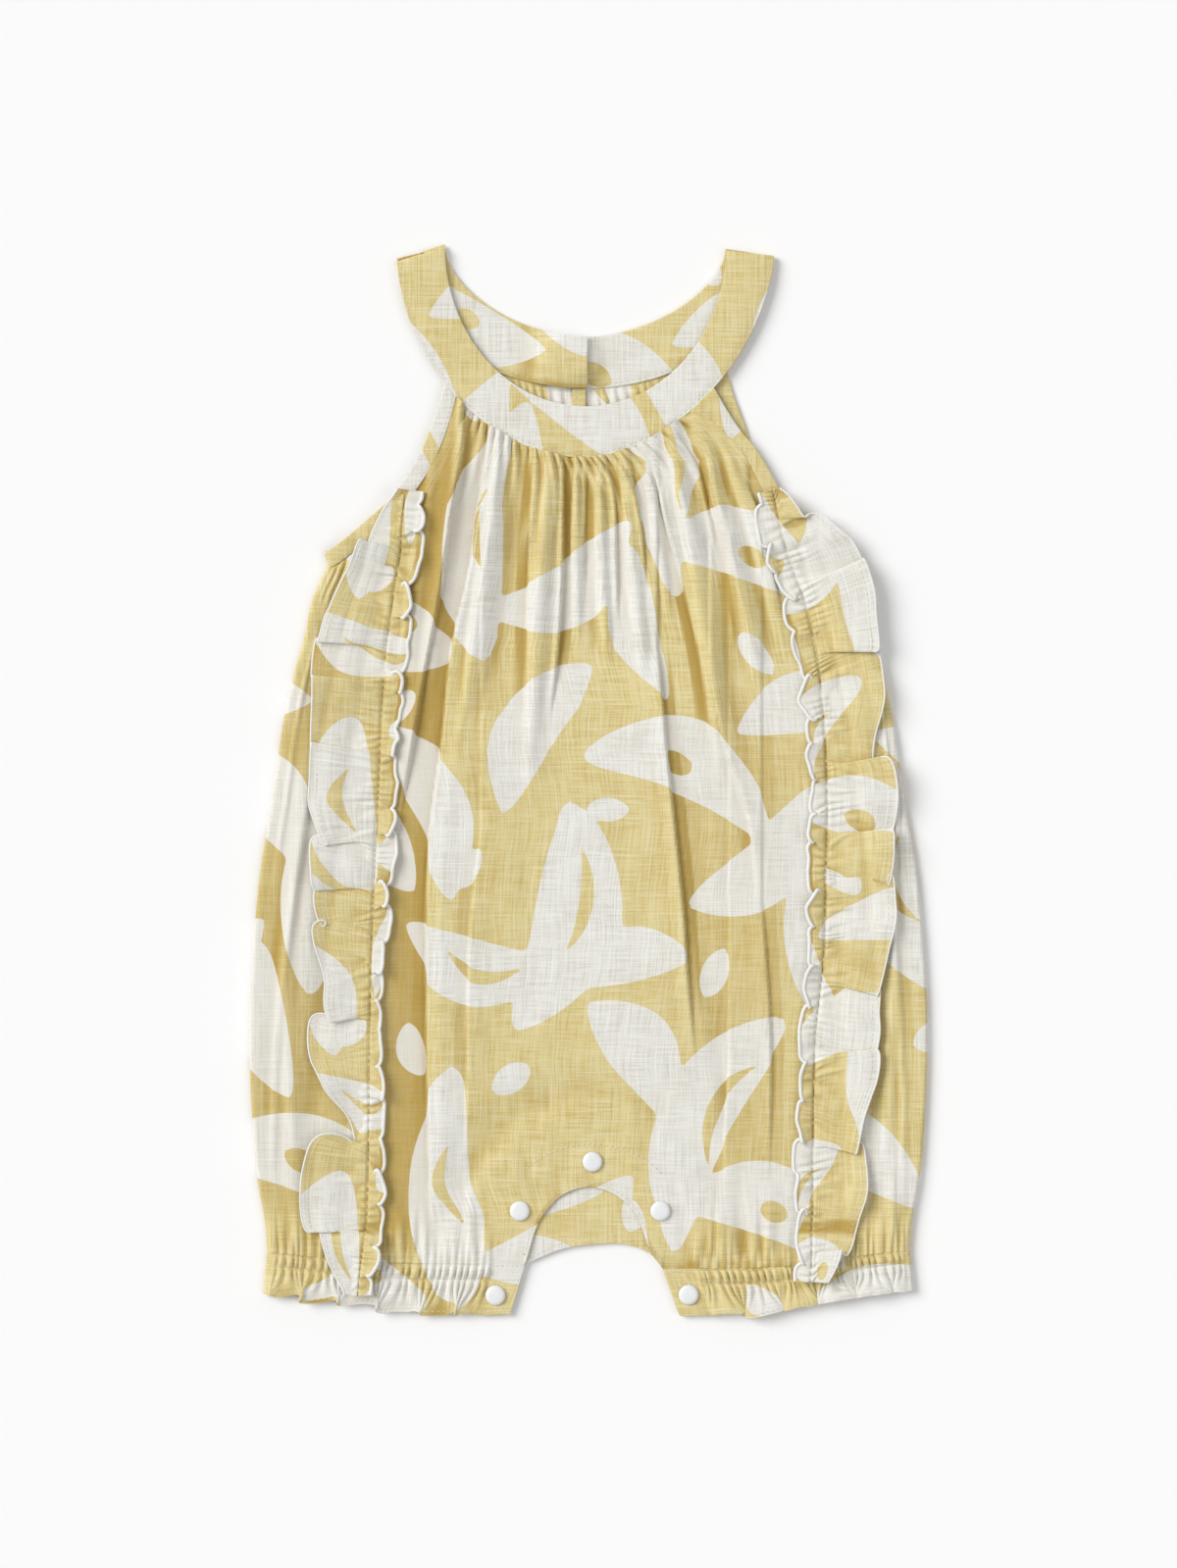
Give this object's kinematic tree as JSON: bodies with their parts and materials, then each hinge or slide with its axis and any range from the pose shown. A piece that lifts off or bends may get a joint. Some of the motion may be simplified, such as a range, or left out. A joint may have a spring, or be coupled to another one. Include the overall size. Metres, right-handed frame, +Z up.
{
  "type": "baby halter romper",
  "caption": "Sleeveless halter-neck baby bubble romper laid flat, with ruffled front seams, elastic leg cuffs, a snapped crotch and a buttoned back collar.",
  "frame": {"origin": "centre of the garment's plan on the surface it lies on", "axes": "+Y from the legs to the neck, +X to the right of someone who looks down on the front, +Z up out of the front, away from the surface"},
  "size_m": [0.2898, 0.4578, 0.0105],
  "materials": {
    "printed_slub_cloth": "matte slub linen and cotton, pale yellow with a large white leaf print",
    "binding_cloth": "matte bias strips of the same cloth",
    "snap_plastic": "smooth white moulded plastic"
  },
  "bodies": {
    "root": {"collar_front": "printed_slub_cloth", "collar_back_left": "printed_slub_cloth", "collar_back_right": "printed_slub_cloth", "back_button": "snap_plastic", "back_placket": "binding_cloth", "back_panel": "printed_slub_cloth", "back_crotch_facing": "printed_slub_cloth", "front_panel": "printed_slub_cloth", "side_panel_left": "printed_slub_cloth", "side_panel_right": "printed_slub_cloth", "leg_cuff_left": "printed_slub_cloth", "leg_cuff_right": "printed_slub_cloth", "ruffle_left": "printed_slub_cloth", "ruffle_right": "printed_slub_cloth", "armhole_binding_front_left": "binding_cloth", "armhole_binding_front_right": "binding_cloth", "armhole_binding_side_left": "binding_cloth", "armhole_binding_side_right": "binding_cloth", "armhole_binding_back_left": "binding_cloth", "armhole_binding_back_right": "binding_cloth", "snap_cap_1": "snap_plastic", "snap_cap_2": "snap_plastic", "snap_cap_3": "snap_plastic", "snap_cap_4": "snap_plastic", "snap_cap_5": "snap_plastic", "snap_stud_1": "snap_plastic", "snap_stud_2": "snap_plastic", "snap_stud_3": "snap_plastic", "snap_stud_4": "snap_plastic", "snap_stud_5": "snap_plastic"}
  },
  "joints": []
}
